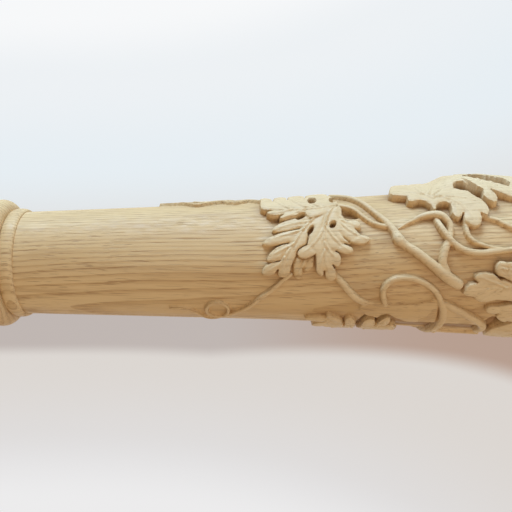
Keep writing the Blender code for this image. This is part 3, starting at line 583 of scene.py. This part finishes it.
def fillet(z, height, radius):
    return [(radius, z), (radius, z + height)]


def dome(z, height, radius, steps=23, end=0.97):
    """Ends just before its middle, where the fan of the surface's end closes it."""
    turn = np.linspace(0, math.pi / 2 * end, steps + 1)
    return [(radius * math.cos(t), z + height * math.sin(t)) for t in turn]


# Mouldings from below to above: shape, height, radii, and steps if there are more than usual.
BASE = ((torus, 32, 67, 73), (fillet, 5, 62), (cove, 14, 60, 52.5), (torus, 9, 53.5, 56.5))
COLLAR = ((torus, 12.4, 46.0, 48.5), (torus, 20.6, 46, 56.6, 26), (cove, 34, 42, 57))
CAP = ((fillet, 10, 46), (torus, 24, 47, 58, 22), (dome, 34, 47))


def profile(z, mouldings):
    """Mouldings one on top of the other, as (radius, z), with points no further apart than a step."""
    points = []
    for shape, height, *sizes in mouldings:
        points += shape(z, height, *sizes)
        z += height
    result = [points[0]]
    for a, b in zip(points, points[1:]):
        length = math.hypot(b[0] - a[0], b[1] - a[1])
        if length < TINY:
            continue
        parts = max(1, int(length / MOULDING_STEP))
        result += [(a[0] + (b[0] - a[0]) * i / parts, a[1] + (b[1] - a[1]) * i / parts) for i in range(1, parts + 1)]
    return result


def post_surface(relief):
    """Rings of points in metres, from the underside to the top of the cap, one ring a row."""
    angle = np.arange(COLUMNS) * 2 * math.pi / COLUMNS
    square = 1 / np.maximum(np.abs(np.sin(angle)), np.abs(np.cos(angle)))
    shaft = relief.r[:, None] + relief.h
    rings = [(square * half, z) for half, z in (
        (PLINTH_HALF, 0.0), (PLINTH_HALF, PLINTH_TOP - ARRIS), (PLINTH_HALF - ARRIS, PLINTH_TOP))]
    rings += profile(PLINTH_TOP, BASE)
    rings += [(shaft[row], SHAFT_TOP - relief.s[row]) for row in range(len(relief.s) - 1, -1, -1)]
    rings += profile(SHAFT_TOP, COLLAR)
    rings += [(square * half, z) for half, z in (
        (HEAD_HALF - ARRIS, HEAD_BOTTOM), (HEAD_HALF, HEAD_BOTTOM + ARRIS),
        (HEAD_HALF, HEAD_TOP - ARRIS), (HEAD_HALF - ARRIS, HEAD_TOP))]
    rings += profile(HEAD_TOP, CAP)
    radius = np.array([np.broadcast_to(ring, COLUMNS) for ring, _ in rings])
    z = np.repeat(np.array([z for _, z in rings])[:, None], COLUMNS, axis=1)
    return np.stack((radius * np.sin(angle), -radius * np.cos(angle), z), axis=2) / 1000


def closed_mesh(name, points):
    """Quads between neighbouring rings, and a fan over each end."""
    rows, columns = points.shape[:2]
    ends = np.array(((0, 0, points[0, 0, 2]), (0, 0, points[-1, 0, 2])))
    verts = np.concatenate((points.reshape(-1, 3), ends))
    i, j = np.meshgrid(np.arange(rows - 1), np.arange(columns), indexing="ij")
    k = (j + 1) % columns
    quads = np.stack((i * columns + j, i * columns + k, (i + 1) * columns + k, (i + 1) * columns + j), axis=2)
    quads = quads.reshape(-1, 4)
    j, k = np.arange(columns), (np.arange(columns) + 1) % columns
    foot = np.stack((np.full(columns, rows * columns), k, j), axis=1)
    top = np.stack((np.full(columns, rows * columns + 1), (rows - 1) * columns + j, (rows - 1) * columns + k), axis=1)
    loops = np.concatenate((quads.ravel(), foot.ravel(), top.ravel()))
    sizes = np.concatenate((np.full(len(quads), 4), np.full(2 * columns, 3)))
    starts = np.concatenate(((0,), np.cumsum(sizes)[:-1]))
    mesh = bpy.data.meshes.new(name)
    mesh.vertices.add(len(verts))
    mesh.vertices.foreach_set("co", verts.astype(np.float32).ravel())
    mesh.loops.add(len(loops))
    mesh.loops.foreach_set("vertex_index", loops.astype(np.int32))
    mesh.polygons.add(len(sizes))
    mesh.polygons.foreach_set("loop_start", starts.astype(np.int32))
    mesh.update(calc_edges=True)
    return mesh


def fewer(obj, triangles):
    """Applies a decimation to about this many triangles."""
    obj.data.calc_loop_triangles()
    modifier = obj.modifiers.new("fewer", "DECIMATE")
    modifier.ratio = triangles / len(obj.data.loop_triangles)
    graph = bpy.context.evaluated_depsgraph_get()
    mesh = bpy.data.meshes.new_from_object(obj.evaluated_get(graph))
    obj.modifiers.clear()
    old, obj.data = obj.data, mesh
    bpy.data.meshes.remove(old)


def sample(relief, field, points):
    """A field of the relief read at surface points, 0 outside the shaft."""
    s = SHAFT_TOP - points[:, 2] * 1000
    angle = np.degrees(np.arctan2(points[:, 0], -points[:, 1])) % 360
    row = np.clip(s / (relief.s[1] - relief.s[0]), 0, len(relief.s) - 1.001)
    column = angle / (relief.a[1] - relief.a[0])
    a, b = row.astype(int), column.astype(int)
    fa, fb = row - a, column - b
    values = (field[a, b % COLUMNS] * (1 - fa) * (1 - fb) + field[a + 1, b % COLUMNS] * fa * (1 - fb)
              + field[a, (b + 1) % COLUMNS] * (1 - fa) * fb + field[a + 1, (b + 1) % COLUMNS] * fa * fb)
    return np.where((s < 0) | (s > relief.s[-1]), 0, values)


def blurred(field, passes, reach):
    """Repeated box blur: the angle wraps round, the ends are held."""
    for _ in range(passes):
        wide = np.concatenate((field[:reach][::-1], field, field[-reach:][::-1]))
        rows = sum(wide[i:i + field.shape[0]] for i in range(2 * reach + 1)) / (2 * reach + 1)
        field = sum(np.roll(rows, i, axis=1) for i in range(-reach, reach + 1)) / (2 * reach + 1)
    return field


BLUR_PASSES, BLUR_REACH = 3, 4
FULL_PAINTED_SHADE = 4.0  # this much lower than its surroundings gets the full painted shade
CLOSE_TO_GROUND = 1.2  # the hollow's painted shade ends this high over its ground


def carved_post():
    """The post's surface, with how raised each point is and how much painted shade its recesses get, for the oak."""
    relief = carve()
    mesh = closed_mesh("carved_newel_post", post_surface(relief))
    post = bpy.data.objects.new("carved_newel_post", mesh)
    bpy.context.scene.collection.objects.link(post)
    fewer(post, TRIANGLES)
    post.data.shade_smooth()
    post.data.set_sharp_from_angle(angle=math.radians(SHARP_ANGLE))

    points = np.empty(len(post.data.vertices) * 3, np.float32)
    post.data.vertices.foreach_get("co", points)
    points = points.reshape(-1, 3)
    # painted shade: darker where the carving lies below its blurred surroundings, and in the hollow
    low = np.clip((blurred(relief.h, BLUR_PASSES, BLUR_REACH) - relief.h) / FULL_PAINTED_SHADE, 0, 1)
    low = np.maximum(low, relief.shade * np.clip(CLOSE_TO_GROUND - (relief.h - relief.ground), 0, 1))
    for name, field in (("raised", np.clip(relief.h / LEAF_HEIGHT, 0, 1)), ("painted_shade", low)):
        attribute = post.data.attributes.new(name, "FLOAT", "POINT")
        attribute.data.foreach_set("value", sample(relief, field, points).astype(np.float32))
    return post


# ---------------------------------------------------------------- materials

class Nodes:
    """Short way to wire a material."""

    def __init__(self, name):
        self.material = bpy.data.materials.new(name)
        self.material.use_nodes = True
        self.tree = self.material.node_tree
        self.surface = self.tree.nodes["Principled BSDF"]

    def put(self, node, socket, value):
        if isinstance(value, bpy.types.NodeSocket):
            self.tree.links.new(value, node.inputs[socket])
        else:
            node.inputs[socket].default_value = value

    def add(self, kind, inputs=(), out=0, **settings):
        node = self.tree.nodes.new(kind)
        for key, value in settings.items():
            setattr(node, key, value)
        for socket, value in dict(inputs).items():
            self.put(node, socket, value)
        return node.outputs[out]

    def math(self, operation, a, b=0.0):
        return self.add("ShaderNodeMath", {0: a, 1: b}, operation=operation)

    def vector(self, operation, a, b, socket=1, out=0):
        return self.add("ShaderNodeVectorMath", {0: a, socket: b}, out=out, operation=operation)

    def noise(self, place, scale, detail=2.0, roughness=0.5, out=0):
        """Noise at a place that is scaled along each axis."""
        place = self.add("ShaderNodeMapping", {"Vector": place, "Scale": scale})
        inputs = {"Vector": place, "Scale": 1.0, "Detail": detail, "Roughness": roughness}
        return self.add("ShaderNodeTexNoise", inputs, out=out)

    def shifted(self, vector, place, scale, reach):
        """A vector moved by coloured noise, up to half the reach each way."""
        drift = self.vector("SUBTRACT", self.noise(place, scale, out=1), (0.5, 0.5, 0.5))
        return self.vector("ADD", vector, self.vector("SCALE", drift, reach, socket="Scale"))

    def spread(self, value, low, high, to_low=0.0, to_high=1.0, kind="SMOOTHSTEP"):
        inputs = {"Value": value, "From Min": low, "From Max": high, "To Min": to_low, "To Max": to_high}
        return self.add("ShaderNodeMapRange", inputs, interpolation_type=kind)

    def mix(self, factor, a, b):
        return self.add("ShaderNodeMix", {0: factor, 6: a, 7: b}, out=2, data_type="RGBA")


PITH = (0.150, 0.085, 0.0)  # the centre of the growth rings, outside the post
RING_WIDTH, EARLY_SHARE = 0.0036, 0.55
GROUND_DARK, GROUND_PALE = (0.590, 0.368, 0.152, 1), (0.690, 0.475, 0.230, 1)
EARLY_WOOD, EARLY_STRENGTH = (0.490, 0.280, 0.105, 1), 0.62
STREAK, STREAK_STRENGTH = (0.430, 0.245, 0.098, 1), 0.55
PORE, PORE_STRENGTH = (0.290, 0.150, 0.058, 1), 0.55
PORES_IN_EARLY_WOOD = 0.07
CARVED_DARK, CARVED_PALE, CARVED_STRENGTH = (0.640, 0.437, 0.215, 1), (0.710, 0.515, 0.275, 1), 0.75
CARVED_PORE, CARVED_PORE_STRENGTH = (0.400, 0.240, 0.105, 1), 0.30
# painted shade: the dark brown that recesses are darkened towards, and how far
PAINTED_SHADE, PAINTED_SHADE_STRENGTH = (0.270, 0.130, 0.045, 1), 0.72
SMOOTH, WORN, PORES_ROUGHER = 0.50, 0.68, 0.15
GRAIN_DEPTH, GRAIN_STRENGTH, WORN_DEPTH, STREAK_DEPTH = 0.00035, 0.45, 0.35, 0.5


def oak():
    """Bare oak: growth rings, streaks and pores along the grain, paler on the carving, with painted shade darkening its
    recesses.
    """
    n = Nodes("oak_carved")
    place = n.add("ShaderNodeTexCoord", out=3)
    raised = n.add("ShaderNodeAttribute", out=2, attribute_name="raised")
    painted_shade = n.add("ShaderNodeAttribute", out=2, attribute_name="painted_shade")
    bent = n.shifted(place, place, scale=(7, 7, 1.6), reach=0.030)
    bent = n.shifted(bent, place, scale=(60, 60, 9), reach=0.0022)

    flat = n.vector("MULTIPLY", bent, (1, 1, 0.0))
    away = n.vector("DISTANCE", flat, PITH, out=1)
    ring = n.math("FRACT", n.math("MULTIPLY", away, 1 / RING_WIDTH))
    early = n.math("SUBTRACT", 1.0, n.spread(ring, 0.0, EARLY_SHARE))
    streak = n.noise(bent, scale=(260, 260, 5), detail=3.0, roughness=0.6)
    pores = n.noise(bent, scale=(1250, 1250, 22), detail=1.0)
    pores = n.spread(n.math("ADD", pores, n.math("MULTIPLY", early, PORES_IN_EARLY_WOOD)), 0.60, 0.72)
    broad = n.noise(bent, scale=(22, 22, 2.2))

    tone = n.mix(n.spread(broad, 0.32, 0.70), GROUND_DARK, GROUND_PALE)
    tone = n.mix(n.math("MULTIPLY", early, EARLY_STRENGTH), tone, EARLY_WOOD)
    tone = n.mix(n.math("MULTIPLY", n.spread(streak, 0.48, 0.75), STREAK_STRENGTH), tone, STREAK)
    tone = n.mix(n.math("MULTIPLY", pores, PORE_STRENGTH), tone, PORE)
    carved = n.mix(n.spread(broad, 0.3, 0.7), CARVED_DARK, CARVED_PALE)
    carved = n.mix(n.math("MULTIPLY", pores, CARVED_PORE_STRENGTH), carved, CARVED_PORE)
    colour = n.mix(n.spread(raised, 0.25, 0.75, 0.0, CARVED_STRENGTH), tone, carved)
    # painted shade in the recesses
    colour = n.mix(n.spread(painted_shade, 0.10, 0.9, 0.0, PAINTED_SHADE_STRENGTH), colour, PAINTED_SHADE)
    n.put(n.surface, "Base Color", colour)

    worn = n.noise(place, scale=(300, 300, 120), detail=3.0, roughness=0.6)
    rough = n.math("ADD", n.spread(worn, 0.3, 0.7, SMOOTH, WORN), n.math("MULTIPLY", pores, PORES_ROUGHER))
    n.put(n.surface, "Roughness", rough)
    n.put(n.surface, "Specular IOR Level", 0.35)
    height = n.math("SUBTRACT", n.math("MULTIPLY", worn, WORN_DEPTH), pores)
    height = n.math("SUBTRACT", height, n.math("MULTIPLY", streak, STREAK_DEPTH))
    bump = n.add("ShaderNodeBump", {"Strength": GRAIN_STRENGTH, "Distance": GRAIN_DEPTH, "Height": height})
    n.put(n.surface, "Normal", bump)
    return n.material


# Painted light on the far part of the paper, from the dark side of the post to the window's: from x, to x, colour.
PAINTED_LIGHT_START = (0.745, 0.730, 0.730, 1)
PAINTED_LIGHT_TONES = (
    (-1.0, -0.45, (0.715, 0.675, 0.640, 1)),
    (-0.1, 0.45, (0.795, 0.855, 0.895, 1)),
    (0.40, 0.85, (0.850, 0.880, 0.905, 1)),
    (0.85, 1.15, (0.930, 0.940, 0.950, 1)),
    (-0.80, -1.15, (0.840, 0.835, 0.840, 1)),
)
PAPER_GREY = (0.78, 0.78, 0.78, 1)
GLOW_FROM, GLOW_FULL = 0.6, 1.15  # how far behind the post the paper turns into a glowing sheet of painted light
# The post's painted shadow: its colours and the x of its edge, each at z 0 and at its top; its softness; the x where it
# ends.
SHADOW_FOOT, SHADOW_HEAD = (0.475, 0.345, 0.280, 1), (0.525, 0.470, 0.445, 1)
SHADOW_TOP, SHADOW_EDGE = 0.9, (-0.325, -0.442)
SHADOW_SOFTNESS, SHADOW_END = (-0.025, 0.045), (-0.10, 0.10)


def paper():
    """Pale paper; the far part glows evenly as painted light, cooler towards the window, with the post's painted soft
    shadow.
    """
    n = Nodes("pale_paper_painted_light")
    parts = n.tree.nodes.new("ShaderNodeSeparateXYZ")
    n.put(parts, 0, n.add("ShaderNodeTexCoord", out=3))
    x, y, z = parts.outputs
    tone = PAINTED_LIGHT_START
    for low, high, colour in PAINTED_LIGHT_TONES:
        tone = n.mix(n.spread(x, low, high), tone, colour)
    # painted shadow of the post on the paper
    edge = n.spread(z, 0.0, SHADOW_TOP, *SHADOW_EDGE, kind="LINEAR")
    shade = n.spread(n.math("SUBTRACT", x, edge), *SHADOW_SOFTNESS)
    shade = n.math("MULTIPLY", shade, n.math("SUBTRACT", 1.0, n.spread(x, *SHADOW_END)))
    tone = n.mix(shade, tone, n.mix(n.spread(z, 0.0, SHADOW_TOP), SHADOW_FOOT, SHADOW_HEAD))
    n.put(n.surface, "Base Color", PAPER_GREY)
    n.put(n.surface, "Roughness", 0.9)
    n.put(n.surface, "Specular IOR Level", 0.1)
    # painted light: the far paper glows, though it is no lamp
    glow = n.add("ShaderNodeEmission", {"Color": tone, "Strength": 1.0})
    far = n.spread(y, GLOW_FROM, GLOW_FULL)
    mixed = n.add("ShaderNodeMixShader", {0: far, 1: n.surface.outputs[0], 2: glow})
    n.put(n.tree.nodes["Material Output"], "Surface", mixed)
    return n.material


# ---------------------------------------------------------------- stage, light, camera

def backdrop():
    """Pale floor that sweeps up into a wall, 2.6 m behind the post."""
    front, start, bend, top, half, steps = -4.5, 1.0, 1.6, 4.2, 4.5, 32
    line = [(front, 0.0), (start, 0.0)]
    turn = np.linspace(0, math.pi / 2, steps + 1)[1:]
    line += [(start + bend * math.sin(t), bend * (1 - math.cos(t))) for t in turn]
    line.append((start + bend, top))
    verts = [(x, y, z) for y, z in line for x in (-half, half)]
    faces = [(2 * i, 2 * i + 1, 2 * i + 3, 2 * i + 2) for i in range(len(line) - 1)]
    mesh = bpy.data.meshes.new("backdrop")
    mesh.from_pydata(verts, [], faces)
    mesh.shade_smooth()
    obj = bpy.data.objects.new("backdrop", mesh)
    bpy.context.scene.collection.objects.link(obj)
    return obj


def area(name, place, target, size, power, colour):
    """Round light that faces its target."""
    light = bpy.data.lights.new(name, "AREA")
    light.shape = "DISK"
    light.size = size
    light.energy = power
    light.color = colour
    obj = bpy.data.objects.new(name, light)
    obj.location = place
    obj.rotation_mode = "QUATERNION"
    obj.rotation_quaternion = (Vector(target) - Vector(place)).to_track_quat("-Z", "Y")
    bpy.context.scene.collection.objects.link(obj)


ROOM_COLOUR, ROOM_STRENGTH = (0.86, 0.80, 0.74, 1), 0.42


def room():
    """Even pale light from all round."""
    scene = bpy.context.scene
    scene.view_settings.view_transform = "Standard"
    scene.view_settings.look = "None"
    scene.world = bpy.data.worlds.new("pale_room")
    scene.world.use_nodes = True
    background = scene.world.node_tree.nodes["Background"]
    background.inputs["Color"].default_value = ROOM_COLOUR
    background.inputs["Strength"].default_value = ROOM_STRENGTH


CAMERA_PLACE = (0.0042, -0.612, 0.687)
CAMERA_ROLL = math.radians(-0.45)
FOCAL, FRAME_WIDTH = 680.0, 512.0  # in pixels of the photograph
SENSOR_WIDTH = 36.0


def photographer():
    """The post lies across the photograph, so the camera is rolled: its right is down the post."""
    scene = bpy.context.scene
    camera = bpy.data.cameras.new("camera")
    camera.sensor_width = SENSOR_WIDTH
    camera.lens = SENSOR_WIDTH * FOCAL / FRAME_WIDTH
    viewer = bpy.data.objects.new("camera", camera)
    right = Vector((math.sin(CAMERA_ROLL), 0, -math.cos(CAMERA_ROLL)))
    up = Vector((math.cos(CAMERA_ROLL), 0, math.sin(CAMERA_ROLL)))
    turn = Matrix((right, up, right.cross(up))).transposed()
    viewer.matrix_world = Matrix.Translation(CAMERA_PLACE) @ turn.to_4x4()
    scene.collection.objects.link(viewer)
    scene.camera = viewer


post = carved_post()
post.data.materials.clear()
post.data.materials.append(oak())
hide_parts("newel_post")
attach(post, "root")

backdrop().data.materials.append(paper())
room()
area("window", place=(1.9, -0.35, 1.00), target=(0, 0, 0.70), size=1.1, power=68, colour=(0.44, 0.67, 1.0))
area("warm_fill", place=(-0.9, -1.5, 0.30), target=(0, 0, 0.50), size=1.2, power=11, colour=(1.0, 0.80, 0.60))
photographer()
